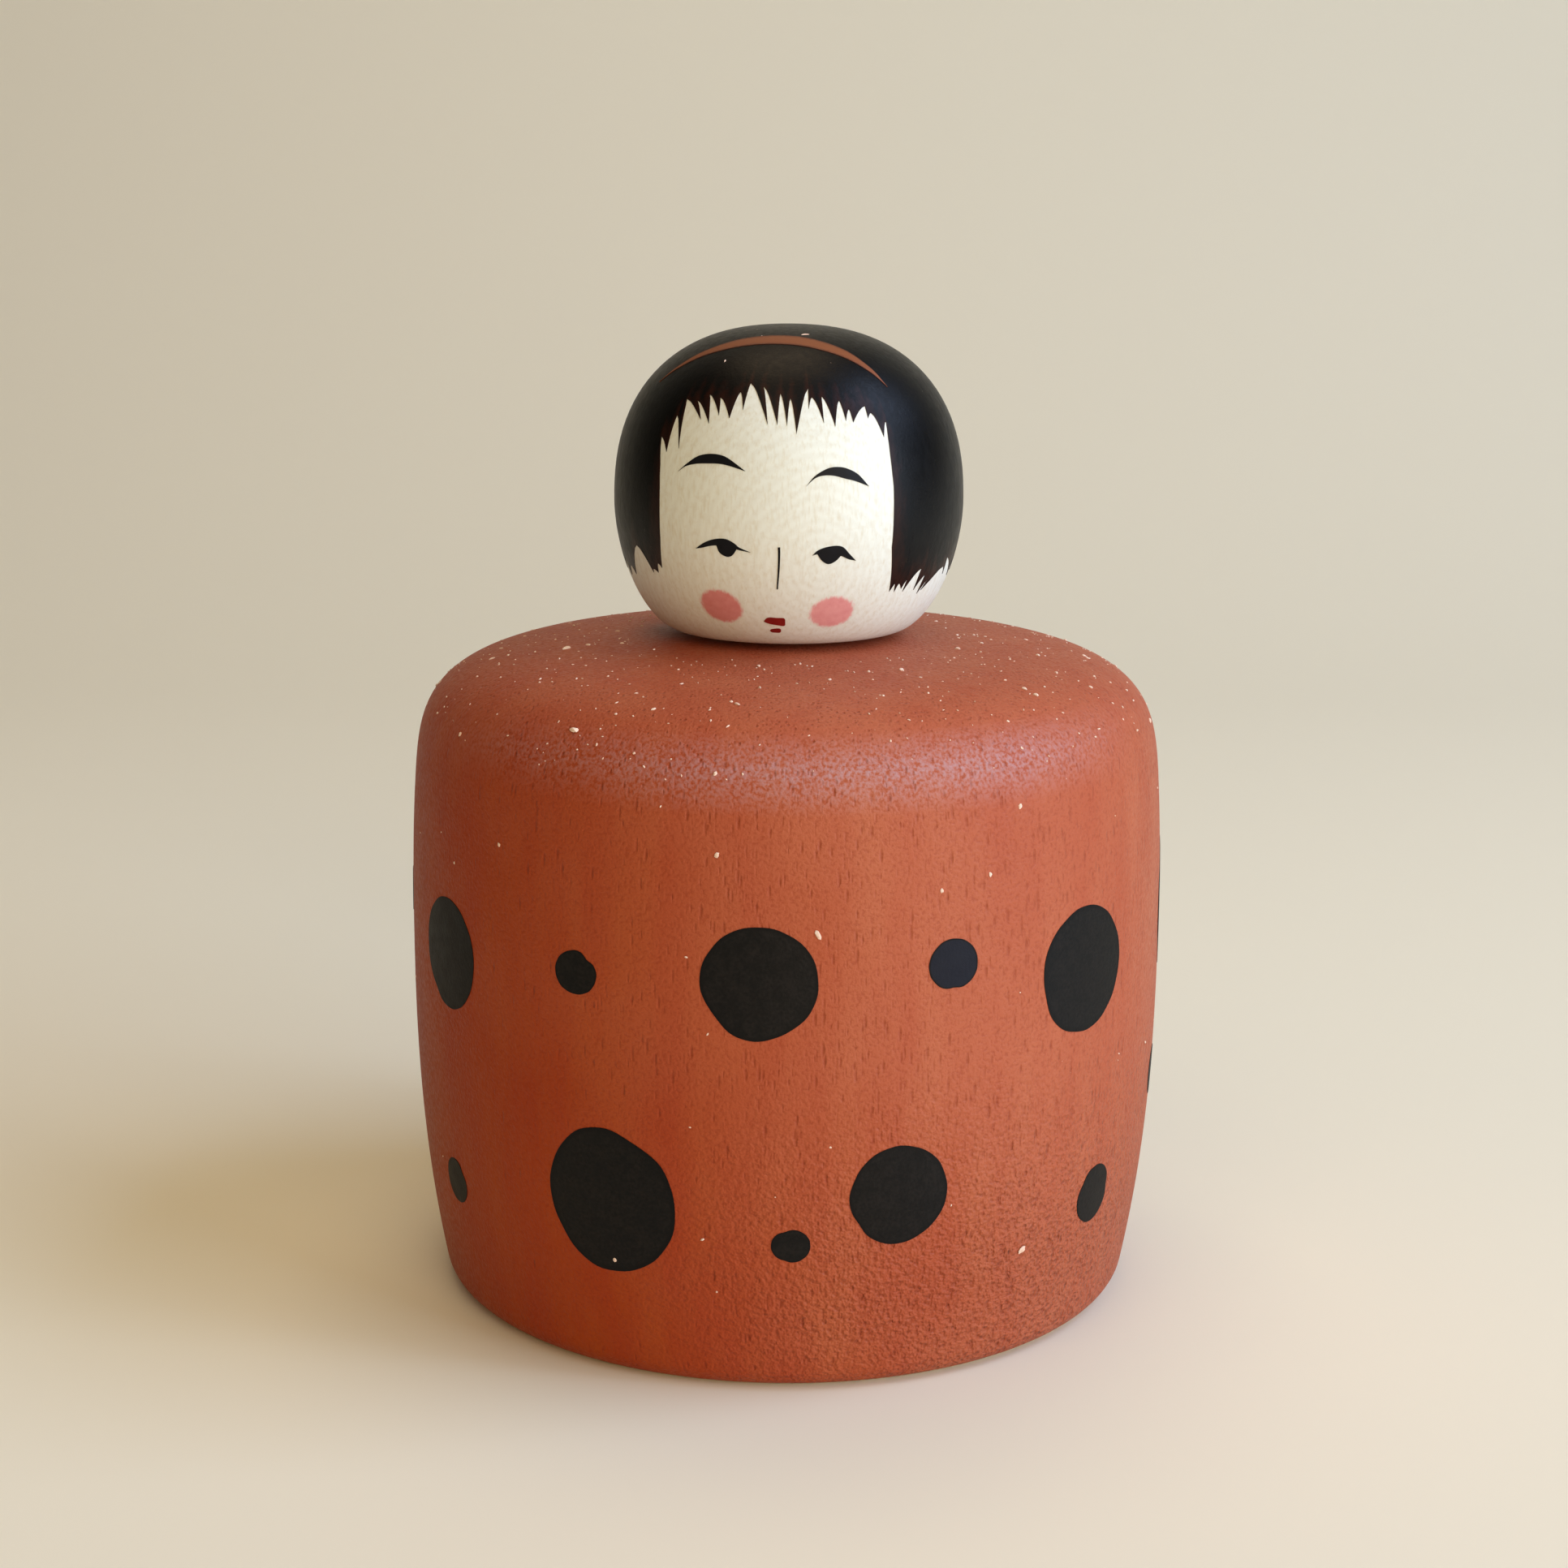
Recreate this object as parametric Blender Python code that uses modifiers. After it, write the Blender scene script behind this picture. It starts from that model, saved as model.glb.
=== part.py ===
"""Kokeshi doll: a turned wooden body and a turned head, joined by a turned neck peg.

The body stands on its flat base at z = 0. Its axis is +Z and its painted front faces -Y.
The peg is glued into the head. Its knob is snapped past the lip of the body's socket, so the
head can't be pulled off and turns on the body. All lengths are in metres.
"""

import math

import bpy

# Body
BODY_RADIUS = 0.0240       # at the belly, the widest level
BODY_HEIGHT = 0.0420       # base to crown, on the axis
BELLY_HEIGHT = 0.02275     # level of the widest circle
BASE_INSET = 0.0020        # the base circle is this much smaller in radius than the belly
BASE_ROUND = 0.00145       # rounding of the bottom edge
SHOULDER_DROP = 0.0100     # the shoulder starts to round this far below the crown
CROWN_RADIUS = 0.0115      # the shoulder's rounding ends at this radius
CROWN_DROP = 0.0004        # fall of the nearly flat crown from the axis to CROWN_RADIUS
BELLY_POWER = 2.44         # how late the side starts to draw in: 2 is a parabola
SHOULDER_POWER = 4.5       # 2 is an ellipse, and more is squarer

# Head
HEAD_RADIUS = 0.01095
HEAD_HEIGHT = 0.01893      # underside to top
CHEEK_HEIGHT = 0.00803     # level of the widest circle above the underside
UNDERSIDE_RADIUS = 0.0070  # the flat that sits over the body's crown
HEAD_TOP_POWER = 2.376
HEAD_CHIN_POWER = 1.75

# Neck
NECK_RADIUS = 0.0030
NECK_IN_HEAD = 0.0080      # glued length
LIP_LENGTH = 0.0035        # the narrow mouth of the socket
KNOB_STEP = 0.0004         # the knob is this much larger in radius than the neck
KNOB_HEIGHT = 0.0036
KNOB_ROUND = 0.0012        # rounding of the knob's lower edge
MOUTH_CHAMFER = 0.0004     # leads the knob into the socket, and the peg into the head

# Clearances
SEAT_GAP = 0.0003          # underside of the head to the crown, and knob to lip
RUNNING_CLEARANCE = 0.00006  # radial, peg to socket
GLUE_LINE = 0.0001         # radial, peg to the head's bore
END_GAP = 0.0005           # below the knob, and above the peg's upper end

SEGMENTS = 72              # steps round every turned piece
ARC_POINTS = 7             # points along a rounded stretch of an outline

HEAD_LEVEL = BODY_HEIGHT + SEAT_GAP
KNOB_RADIUS = NECK_RADIUS + KNOB_STEP
KNOB_TOP = -SEAT_GAP - LIP_LENGTH - SEAT_GAP  # measured from the head's underside
KNOB_BOTTOM = KNOB_TOP - KNOB_HEIGHT
SOCKET_FLOOR = HEAD_LEVEL + KNOB_BOTTOM - END_GAP


def clear_scene():
    for thing in list(bpy.data.objects):
        bpy.data.objects.remove(thing, do_unlink=True)


def new_collection(name):
    collection = bpy.data.collections.new(name)
    bpy.context.scene.collection.children.link(collection)
    return collection


def finish_material(name, colour, roughness):
    material = bpy.data.materials.new(name)
    material.use_nodes = True
    shader = material.node_tree.nodes["Principled BSDF"]
    shader.inputs["Base Color"].default_value = (*colour, 1.0)
    shader.inputs["Roughness"].default_value = roughness
    shader.inputs["Metallic"].default_value = 0.0
    return material


def quarter_turn(power, count=ARC_POINTS):
    """Points (across, along) of a superellipse's quarter, from (1, 0) to (0, 1)."""
    steps = [0.5 * math.pi * i / (count - 1) for i in range(count)]
    return [
        (abs(math.cos(a)) ** (2 / power), abs(math.sin(a)) ** (2 / power))
        for a in steps
    ]


def side_radius(z):
    """The belly's law: the radius falls off as a power of the distance from the belly's level."""
    return BODY_RADIUS - BASE_INSET * abs(1 - z / BELLY_HEIGHT) ** BELLY_POWER


def crown_level(radius):
    return BODY_HEIGHT - CROWN_DROP * (radius / CROWN_RADIUS) ** 2


def shoulder_points():
    """From the crown outwards and down to where the side takes over."""
    start = BODY_HEIGHT - SHOULDER_DROP
    points = []
    for across, along in reversed(quarter_turn(SHOULDER_POWER, 2 * ARC_POINTS)):
        radius = CROWN_RADIUS + (side_radius(start) - CROWN_RADIUS) * across
        level = start + (crown_level(radius) - start) * along
        points.append((CROWN_RADIUS + (side_radius(level) - CROWN_RADIUS) * across, level))
    return points


def side_points():
    """Down the side, from below the shoulder to the top of the bottom edge's rounding."""
    top = BODY_HEIGHT - SHOULDER_DROP
    levels = [top + (BASE_ROUND - top) * i / ARC_POINTS for i in range(1, ARC_POINTS)]
    return [(side_radius(z), z) for z in levels]


def base_points():
    """The rounded bottom edge, down to the flat base."""
    return [
        (side_radius(BASE_ROUND * (1 - along)) - BASE_ROUND * (1 - across), BASE_ROUND * (1 - along))
        for across, along in quarter_turn(2)
    ]


def body_outline():
    """From the socket's floor up its wall, over the crown, down the side and under the base."""
    mouth = NECK_RADIUS + RUNNING_CLEARANCE
    chamber = KNOB_RADIUS + RUNNING_CLEARANCE
    lip_under = HEAD_LEVEL - SEAT_GAP - LIP_LENGTH
    mouth_edge = mouth + MOUTH_CHAMFER
    return [
        (0, SOCKET_FLOOR),
        (chamber, SOCKET_FLOOR),
        (chamber, lip_under - KNOB_STEP),
        (mouth, lip_under),
        (mouth, crown_level(mouth_edge) - MOUTH_CHAMFER),
        (mouth_edge, crown_level(mouth_edge)),
        (0.5 * (mouth_edge + CROWN_RADIUS), crown_level(0.5 * (mouth_edge + CROWN_RADIUS))),
        *shoulder_points(),
        *side_points(),
        *base_points(),
        (0, 0),
    ]


def head_outline():
    """From the top down the outer side, under the chin and up into the peg's bore."""
    bore = NECK_RADIUS + GLUE_LINE
    crown = [
        (HEAD_RADIUS * across, CHEEK_HEIGHT + (HEAD_HEIGHT - CHEEK_HEIGHT) * along)
        for across, along in reversed(quarter_turn(HEAD_TOP_POWER, 2 * ARC_POINTS))
    ]
    crown[0] = (0, HEAD_HEIGHT)
    chin = [
        (UNDERSIDE_RADIUS + (HEAD_RADIUS - UNDERSIDE_RADIUS) * across, CHEEK_HEIGHT * (1 - along))
        for across, along in quarter_turn(HEAD_CHIN_POWER, ARC_POINTS + 3)[1:]
    ]
    return [
        *crown,
        *chin,
        (bore + MOUTH_CHAMFER, 0),
        (bore, MOUTH_CHAMFER),
        (bore, NECK_IN_HEAD + END_GAP),
        (0, NECK_IN_HEAD + END_GAP),
    ]


def peg_outline():
    """From the glued upper end down the neck, round the knob and in under it."""
    knob_edge = [
        (KNOB_RADIUS - KNOB_ROUND * (1 - across), KNOB_BOTTOM + KNOB_ROUND * (1 - along))
        for across, along in quarter_turn(2)
    ]
    return [
        (0, NECK_IN_HEAD),
        (NECK_RADIUS - MOUTH_CHAMFER, NECK_IN_HEAD),
        (NECK_RADIUS, NECK_IN_HEAD - MOUTH_CHAMFER),
        (NECK_RADIUS, KNOB_TOP),
        (KNOB_RADIUS, KNOB_TOP - KNOB_STEP),
        *knob_edge,
        (0, KNOB_BOTTOM),
    ]


def turned(name, outline, material, collection):
    """A solid of revolution about Z from an outline that starts and ends on the axis."""
    profile = bpy.data.meshes.new(name + "_outline")
    edges = [(i, i + 1) for i in range(len(outline) - 1)]
    profile.from_pydata([(radius, 0, z) for radius, z in outline], edges, [])
    guide = bpy.data.objects.new(name + "_outline", profile)
    collection.objects.link(guide)
    screw = guide.modifiers.new("Turn", "SCREW")
    screw.axis = "Z"
    screw.steps = SEGMENTS
    screw.render_steps = SEGMENTS
    screw.use_merge_vertices = True
    screw.merge_threshold = 0.000005
    depsgraph = bpy.context.evaluated_depsgraph_get()
    mesh = bpy.data.meshes.new_from_object(guide.evaluated_get(depsgraph))
    bpy.data.objects.remove(guide)
    bpy.data.meshes.remove(profile)
    mesh.name = name
    mesh.shade_smooth()
    mesh.set_sharp_from_angle(angle=math.radians(35))
    mesh.materials.clear()
    mesh.materials.append(material)
    piece = bpy.data.objects.new(name, mesh)
    collection.objects.link(piece)
    return piece


def build():
    clear_scene()
    doll = new_collection("kokeshi_doll")
    red_stain = finish_material("red_stain", (0.36, 0.072, 0.030), 0.55)
    cream_ground = finish_material("cream_ground", (0.78, 0.74, 0.60), 0.6)
    bare_wood = finish_material("bare_wood", (0.62, 0.42, 0.24), 0.7)

    turned("body", body_outline(), red_stain, doll)

    head_turn = bpy.data.objects.new("head_turn", None)
    head_turn.location = (0, 0, HEAD_LEVEL)
    doll.objects.link(head_turn)
    for piece in (
        turned("head", head_outline(), cream_ground, doll),
        turned("neck_peg", peg_outline(), bare_wood, doll),
    ):
        piece.parent = head_turn


build()
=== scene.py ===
"""The finished look of a turned and painted kokeshi doll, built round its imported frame.

Lengths are in metres, but marks on the doll are given in millimetres and degrees. An angle on
the doll is counted from its front, which faces -Y, towards +X. The turned surfaces and every
coat of paint on them are worked out as grids of points.
"""

import math

import bmesh
import bpy
import numpy as np
from mathutils import Matrix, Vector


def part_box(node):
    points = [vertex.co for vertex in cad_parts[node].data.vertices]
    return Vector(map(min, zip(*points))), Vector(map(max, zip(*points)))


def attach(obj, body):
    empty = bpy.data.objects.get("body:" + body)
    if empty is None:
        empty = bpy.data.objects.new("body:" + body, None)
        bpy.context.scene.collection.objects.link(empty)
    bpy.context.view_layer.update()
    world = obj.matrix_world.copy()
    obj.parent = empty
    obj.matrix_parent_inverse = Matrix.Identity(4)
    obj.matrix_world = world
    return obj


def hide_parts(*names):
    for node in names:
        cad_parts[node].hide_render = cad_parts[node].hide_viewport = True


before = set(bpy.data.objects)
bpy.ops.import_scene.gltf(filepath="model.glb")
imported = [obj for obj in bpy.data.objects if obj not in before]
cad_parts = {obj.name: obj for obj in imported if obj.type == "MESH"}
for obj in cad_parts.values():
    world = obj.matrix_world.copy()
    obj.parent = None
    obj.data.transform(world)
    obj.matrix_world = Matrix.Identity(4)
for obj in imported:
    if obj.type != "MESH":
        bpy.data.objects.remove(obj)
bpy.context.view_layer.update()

MM = 0.001

# ---------------------------------------------------------------- sizes taken from the frame
BODY_LOW, BODY_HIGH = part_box("body")
HEAD_LOW, HEAD_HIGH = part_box("head")
PEG_LOW, PEG_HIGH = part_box("neck_peg")
CROWN_DROP_AT_MOUTH = 0.04 * MM  # fall of the crown from the axis to the socket's mouth
BODY_RADIUS = BODY_HIGH[0]
BODY_HEIGHT = BODY_HIGH[2] + CROWN_DROP_AT_MOUTH
HEAD_RADIUS = HEAD_HIGH[0]
HEAD_LEVEL = HEAD_LOW[2]
HEAD_HEIGHT = HEAD_HIGH[2] - HEAD_LEVEL
KNOB_RADIUS = PEG_HIGH[0]
PEG_END = PEG_HIGH[2]
KNOB_END = PEG_LOW[2]

# ---------------------------------------------------------------- the turner's profiles
BELLY_LEVEL = 22.75 * MM       # the widest circle of the body
BASE_INSET = 2.0 * MM          # the base circle is this much smaller in radius than the belly
BASE_ROUND = 1.45 * MM         # rounding of the bottom edge
SHOULDER_DROP = 10.0 * MM      # the shoulder starts to round this far below the crown
CROWN_RADIUS = 11.5 * MM       # the shoulder's rounding ends here
CROWN_DROP = 0.4 * MM          # fall of the nearly flat crown out to CROWN_RADIUS
BELLY_POWER = 2.44             # how late the side starts to draw in: 2 is a parabola
SHOULDER_POWER = 4.5           # 2 is an ellipse, and more is squarer
CHEEK_LEVEL = 8.03 * MM        # the widest circle of the head, above its underside
UNDERSIDE_RADIUS = 7.0 * MM
HEAD_TOP_POWER = 2.376
HEAD_CHIN_POWER = 1.75
TOP_POINTS = 90                # points of the head's outline above the cheek
NECK_RADIUS = 3.0 * MM
LIP_LENGTH = 3.5 * MM
SEAT_GAP = 0.3 * MM
RUNNING_CLEARANCE = 0.06 * MM
GLUE_LINE = 0.1 * MM
END_GAP = 0.5 * MM
CHAMFER = 0.4 * MM

# ---------------------------------------------------------------- paint
PAINT = 0.030 * MM             # how far a coat of paint stands proud
SUNK = 0.030 * MM              # how far its back lies under the wood's surface


# ================================================================ turned surfaces
def quarter_turn(power, count):
    """(across, along) of a superellipse's quarter: cosine and sine, each to the power 2/power."""
    turn = np.linspace(0, 0.5 * math.pi, count)
    return np.cos(turn) ** (2 / power), np.sin(turn) ** (2 / power)


def side_radius(level):
    """The belly's law: radius less an inset that grows as a power of the distance from the belly."""
    return BODY_RADIUS - BASE_INSET * np.abs(1 - level / BELLY_LEVEL) ** BELLY_POWER


def crown_level(radius):
    """A shallow paraboloid, highest on the axis."""
    return BODY_HEIGHT - CROWN_DROP * (radius / CROWN_RADIUS) ** 2


def body_face():
    """The outer outline of the body, from the axis over the crown and shoulder to the base's edge."""
    flat = np.linspace(NECK_RADIUS + CHAMFER, CROWN_RADIUS, 16)[:-1]
    across, along = (part[::-1] for part in quarter_turn(SHOULDER_POWER, 60))
    start = BODY_HEIGHT - SHOULDER_DROP
    rough = CROWN_RADIUS + (side_radius(start) - CROWN_RADIUS) * across
    level = start + (crown_level(rough) - start) * along
    shoulder = CROWN_RADIUS + (side_radius(level) - CROWN_RADIUS) * across
    side = np.linspace(start, BASE_ROUND, 60)[1:-1]
    in_by, down_by = (BASE_ROUND * (1 - part) for part in quarter_turn(2, 12))
    return np.concatenate([
        np.stack([flat, crown_level(flat)], 1),
        np.stack([shoulder, level], 1),
        np.stack([side_radius(side), side], 1),
        np.stack([side_radius(down_by) - in_by, down_by], 1),
    ])


def head_face():
    """The outer outline of the head, from its top down to the edge of its flat underside."""
    across, along = (part[::-1] for part in quarter_turn(HEAD_TOP_POWER, TOP_POINTS))
    top = np.stack([HEAD_RADIUS * across, CHEEK_LEVEL + (HEAD_HEIGHT - CHEEK_LEVEL) * along], 1)
    across, along = (part[1:] for part in quarter_turn(HEAD_CHIN_POWER, 70))
    reach = HEAD_RADIUS - UNDERSIDE_RADIUS
    chin = np.stack([UNDERSIDE_RADIUS + reach * across, CHEEK_LEVEL * (1 - along)], 1)
    return np.concatenate([top, chin]) + (0, HEAD_LEVEL)


class TurnedFace:
    """A surface of revolution that marks are laid on.

    A place on it is an angle round the axis and a walk, the distance from the outline's upper
    end measured along the outline.
    """

    def __init__(self, outline):
        self.outline = outline
        steps = np.hypot(*np.diff(outline, axis=0).T)
        self.walks = np.concatenate([[0.0], np.cumsum(steps)])
        tangent = np.gradient(outline, self.walks, axis=0)
        tangent /= np.linalg.norm(tangent, axis=1)[:, None]
        self.outward = np.stack([-tangent[:, 1], tangent[:, 0]], 1)

    def walk_at(self, level):
        return np.interp(-np.asarray(level), -self.outline[:, 1], self.walks)

    def radius_at(self, walk):
        return np.interp(walk, self.walks, self.outline[:, 0])

    def points(self, angle, walk, lift=0.0):
        """The outline at that walk, moved out along its normal by lift and turned by the angle."""
        radius = self.radius_at(walk) + lift * np.interp(walk, self.walks, self.outward[:, 0])
        level = np.interp(walk, self.walks, self.outline[:, 1])
        level = level + lift * np.interp(walk, self.walks, self.outward[:, 1])
        turn = np.radians(angle)
        return np.stack([radius * np.sin(turn), -radius * np.cos(turn), level], -1)


BODY_FACE = TurnedFace(body_face())
HEAD_FACE = TurnedFace(head_face())


# ================================================================ meshes
def grid_faces(rows, columns, round_and_back=False, first=0):
    """Quads between neighbours of a rows by columns grid, whose last column may join its first."""
    index = first + np.arange(rows * columns).reshape(rows, columns)
    if round_and_back:
        index = np.concatenate([index, index[:, :1]], 1)
    corners = (index[:-1, :-1], index[1:, :-1], index[1:, 1:], index[:-1, 1:])
    return np.stack(corners, -1).reshape(-1, 4)


def new_piece(name, points, faces, material, body, slot, **attributes):
    """A mesh object whose doubled points are merged and whose faces look outwards."""
    mesh = bpy.data.meshes.new(name)
    mesh.from_pydata(points.reshape(-1, 3).tolist(), [], faces.tolist())
    for label, values in attributes.items():
        layer = mesh.attributes.new(label, "FLOAT", "POINT")
        layer.data.foreach_set("value", np.ravel(values).astype(np.float32))
    work = bmesh.new()
    work.from_mesh(mesh)
    bmesh.ops.remove_doubles(work, verts=work.verts, dist=0.0000005)
    bmesh.ops.recalc_face_normals(work, faces=work.faces)
    work.to_mesh(mesh)
    work.free()
    mesh.shade_smooth()
    mesh.set_sharp_from_angle(angle=math.radians(40))
    mesh.materials.append(material)
    piece = bpy.data.objects.new(name, mesh)
    bpy.context.scene.collection.objects.link(piece)
    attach(piece, body)
    return piece


def turned_piece(name, outline, columns, material, body, slot):
    """An outline that starts and ends on the axis, turned about it in equal steps."""
    turn = np.arange(columns) * (2 * math.pi / columns)
    radius, level = outline[:, :1], outline[:, 1:]
    points = np.stack(
        [radius * np.sin(turn), -radius * np.cos(turn), level + 0 * turn], -1
    )
    faces = grid_faces(len(outline), columns, round_and_back=True)
    return new_piece(name, points, faces, material, body, slot)


def coat_points(face, angle, walk, proud=PAINT):
    """The front of a coat of paint above the wood and its back just under it, edge over edge."""
    return np.stack([face.points(angle, walk, proud), face.points(angle, walk, -SUNK)])


def patch_faces(rows, columns, first=0):
    """A closed shell: front grid, back grid, and the four strips that join their edges."""
    front = grid_faces(rows, columns, first=first)
    index = first + np.arange(rows * columns).reshape(rows, columns)
    rim = np.concatenate([index[0], index[1:, -1], index[-1, -2::-1], index[-2:0:-1, 0]])
    after = np.roll(rim, -1)
    back = rows * columns
    strips = np.stack([rim, rim + back, after + back, after], 1)
    return np.concatenate([front, front[:, ::-1] + back, strips])


def round_faces(rows, columns, first=0):
    """The same for a coat that closes round itself and whose first row is a single point."""
    front = grid_faces(rows, columns, round_and_back=True, first=first)
    rim = first + (rows - 1) * columns + np.arange(columns)
    after = np.roll(rim, -1)
    back = rows * columns
    strips = np.stack([rim, rim + back, after + back, after], 1)
    return np.concatenate([front, front[:, ::-1] + back, strips])


def smooth_line(points, count):
    """A Catmull-Rom curve through the points, read at equal steps of its parameter."""
    points = np.asarray(points, float)
    ends = np.stack([2 * points[0] - points[1], 2 * points[-1] - points[-2]])
    padded = np.concatenate([ends[:1], points, ends[1:]])
    at = np.linspace(0, len(points) - 1, count)
    piece = np.minimum(at.astype(int), len(points) - 2)
    t = (at - piece)[:, None]
    a, b, c, d = (padded[piece + k] for k in range(4))
    return 0.5 * (2 * b + (c - a) * t + (2 * a - 5 * b + 4 * c - d) * t**2 + (3 * b - a - 3 * c + d) * t**3)


# ================================================================ materials
def linear(hex_colour):
    """An sRGB hex colour as linear red, green, blue and full alpha."""
    parts = [int(hex_colour[i:i + 2], 16) / 255 for i in (1, 3, 5)]
    return (*(p / 12.92 if p <= 0.04045 else ((p + 0.055) / 1.055) ** 2.4 for p in parts), 1.0)


def add(tree, kind, inputs=None, output=0, **settings):
    """Adds a node, makes its settings and returns one of its outputs. Each input gets a value, a
    hex colour or a link from a socket."""
    node = tree.nodes.new("ShaderNode" + kind)
    for name, value in settings.items():
        setattr(node, name, value)
    for name, value in (inputs or {}).items():
        if isinstance(value, bpy.types.NodeSocket):
            tree.links.new(value, node.inputs[name])
        else:
            node.inputs[name].default_value = linear(value) if isinstance(value, str) else value
    return node.outputs[output]


def new_material(name, **values):
    """An empty material with a Principled shader, whose constant values are set on its sockets."""
    material = bpy.data.materials.new(name)
    material.use_nodes = True
    tree = material.node_tree
    shader = tree.nodes["Principled BSDF"]
    for socket, value in values.items():
        shader.inputs[socket.replace("_", " ")].default_value = value
    return material, tree, shader


def connect(shader, **sources):
    """Links a socket to each of these inputs of the shader."""
    for socket, source in sources.items():
        shader.id_data.links.new(source, shader.inputs[socket.replace("_", " ")])


# A Mix node of colours: its setting, the place of its output, and the places of its inputs.
OF_COLOURS = {"data_type": "RGBA", "output": 2}
FACTOR, COLOUR_A, COLOUR_B = 0, 6, 7

WAVE_PERIOD = 0.314  # a Wave texture of scale 1 repeats at this distance


def dogwood_stained_waxed():
    """Straight-grained dogwood, turned, dyed with a red water stain and rubbed with wax.

    The colour holds painted light and shade: a deep saturated red as painted shade on the left,
    and a paler, hazier red as painted sheen on the lit right and on top. The open grain scatters
    most of the shine. The pores run up the side as short dashes, and the underside, which the
    dye didn't reach, is bare.
    """
    material, tree, shader = new_material("dogwood_stained_waxed", IOR=1.5, Specular_IOR_Level=0.2)
    place = add(tree, "TexCoord", output="Object")
    sides = add(tree, "SeparateXYZ", {0: place}).node.outputs
    level = sides["Z"]

    # painted light and shade: the share of the paler, hazier lit colour, from nothing at the shaded left to
    # all on the lit right, and over the crown
    crowd = add(tree, "TexNoise", {"Vector": place, "Scale": 1 / (7 * MM), "Detail": 2.0}, output="Fac")
    leaning = add(tree, "Math", {0: level, 1: 0.4, 2: sides["X"]}, operation="MULTIPLY_ADD")
    swayed = add(tree, "Math", {0: crowd, 1: 14 * MM, 2: leaning}, operation="MULTIPLY_ADD")
    right = add(tree, "MapRange", {"Value": swayed, "From Min": -3 * MM, "From Max": 24 * MM})
    top = add(tree, "MapRange", {"Value": level, "From Min": 34 * MM, "From Max": 40 * MM, "To Max": 0.75})
    painted_light_share = add(tree, "Math", {0: right, 1: top}, operation="MAXIMUM")

    # pores: one dimple 0.12 mm wide and 0.5 mm long in some of the cells of the grain
    grain = add(tree, "Mapping", {"Vector": place, "Scale": (1, 1, 0.24)})
    cells = add(tree, "TexVoronoi", {"Vector": grain, "Scale": 1 / (0.26 * MM)}).node.outputs
    lots = add(tree, "SeparateColor", {0: cells["Color"]}).node.outputs
    small = add(tree, "Math", {0: lots["Green"], 1: 0.34, 2: cells["Distance"]}, operation="MULTIPLY_ADD")
    # painted light: the pores are laid most thickly where the light falls, on the right and on top
    thick = add(tree, "Math", {0: crowd, 1: painted_light_share}, operation="MULTIPLY")
    share = add(tree, "MapRange", {"Value": thick, "From Max": 0.6, "To Min": 0.04, "To Max": 0.85})
    there = add(tree, "Math", {0: lots["Red"], 1: share}, operation="LESS_THAN")
    dimple = add(
        tree, "MapRange", {"Value": small, "From Min": 0.6, "From Max": 0.1},
        interpolation_type="SMOOTHSTEP",
    )
    pit = add(tree, "Math", {0: dimple, 1: there}, operation="MULTIPLY")

    # the dye takes unevenly along the fibres, 3 mm across and 15 mm long
    streak_place = add(tree, "Mapping", {"Vector": place, "Scale": (1, 1, 0.2)})
    streak = add(
        tree, "TexNoise", {"Vector": streak_place, "Scale": 1 / (3 * MM), "Detail": 4.0}, output="Fac"
    )
    take = add(tree, "MapRange", {"Value": streak, "From Min": 0.3, "From Max": 0.7})
    # painted light and shade: a deep saturated red for the shaded left, a paler hazier red for the lit right
    # and the crown
    shade_side_red = add(tree, "Mix", {FACTOR: take, COLOUR_A: "#983202", COLOUR_B: "#9e3e03"}, **OF_COLOURS)
    lit_side_red = add(tree, "Mix", {FACTOR: take, COLOUR_A: "#a85438", COLOUR_B: "#af6042"}, **OF_COLOURS)
    dyed = add(tree, "Mix", {FACTOR: painted_light_share, COLOUR_A: shade_side_red, COLOUR_B: lit_side_red}, **OF_COLOURS)
    # painted highlight: a mottled mauve sheen painted into the turn of the shoulder on the right, where the
    # light from the upper right glances off
    turn = add(tree, "MapRange", {"Value": level, "From Min": 35.2 * MM, "From Max": 37.4 * MM})
    turned = add(tree, "MapRange", {"Value": level, "From Min": 39.6 * MM, "From Max": 37.8 * MM})
    frost = add(tree, "TexNoise", {"Vector": place, "Scale": 1 / (0.21 * MM), "Detail": 2.0}, output="Fac")
    mottled = add(tree, "MapRange", {"Value": frost, "From Min": 0.35, "From Max": 0.65, "To Max": 0.66})
    before = add(tree, "MapRange", {"Value": sides["X"], "From Min": 21 * MM, "From Max": 13 * MM})
    painted_shoulder_sheen = mottled
    for factor in (turn, turned, right, before):
        painted_shoulder_sheen = add(tree, "Math", {0: painted_shoulder_sheen, 1: factor}, operation="MULTIPLY")
    dyed = add(tree, "Mix", {FACTOR: painted_shoulder_sheen, COLOUR_A: dyed, COLOUR_B: "#ae8e93"}, **OF_COLOURS)
    # fine sanding marks, a shade darker
    low = add(tree, "MapRange", {"Value": level, "From Min": 21 * MM, "From Max": 7 * MM})
    rougher = add(tree, "Math", {0: low, 1: right}, operation="MULTIPLY")
    sanded = add(tree, "MapRange", {"Value": frost, "From Min": 0.5, "From Max": 0.32, "To Max": 0.28})
    dyed = add(tree, "Mix", {FACTOR: sanded, COLOUR_A: dyed, COLOUR_B: "#7e2406"}, **OF_COLOURS)
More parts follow.
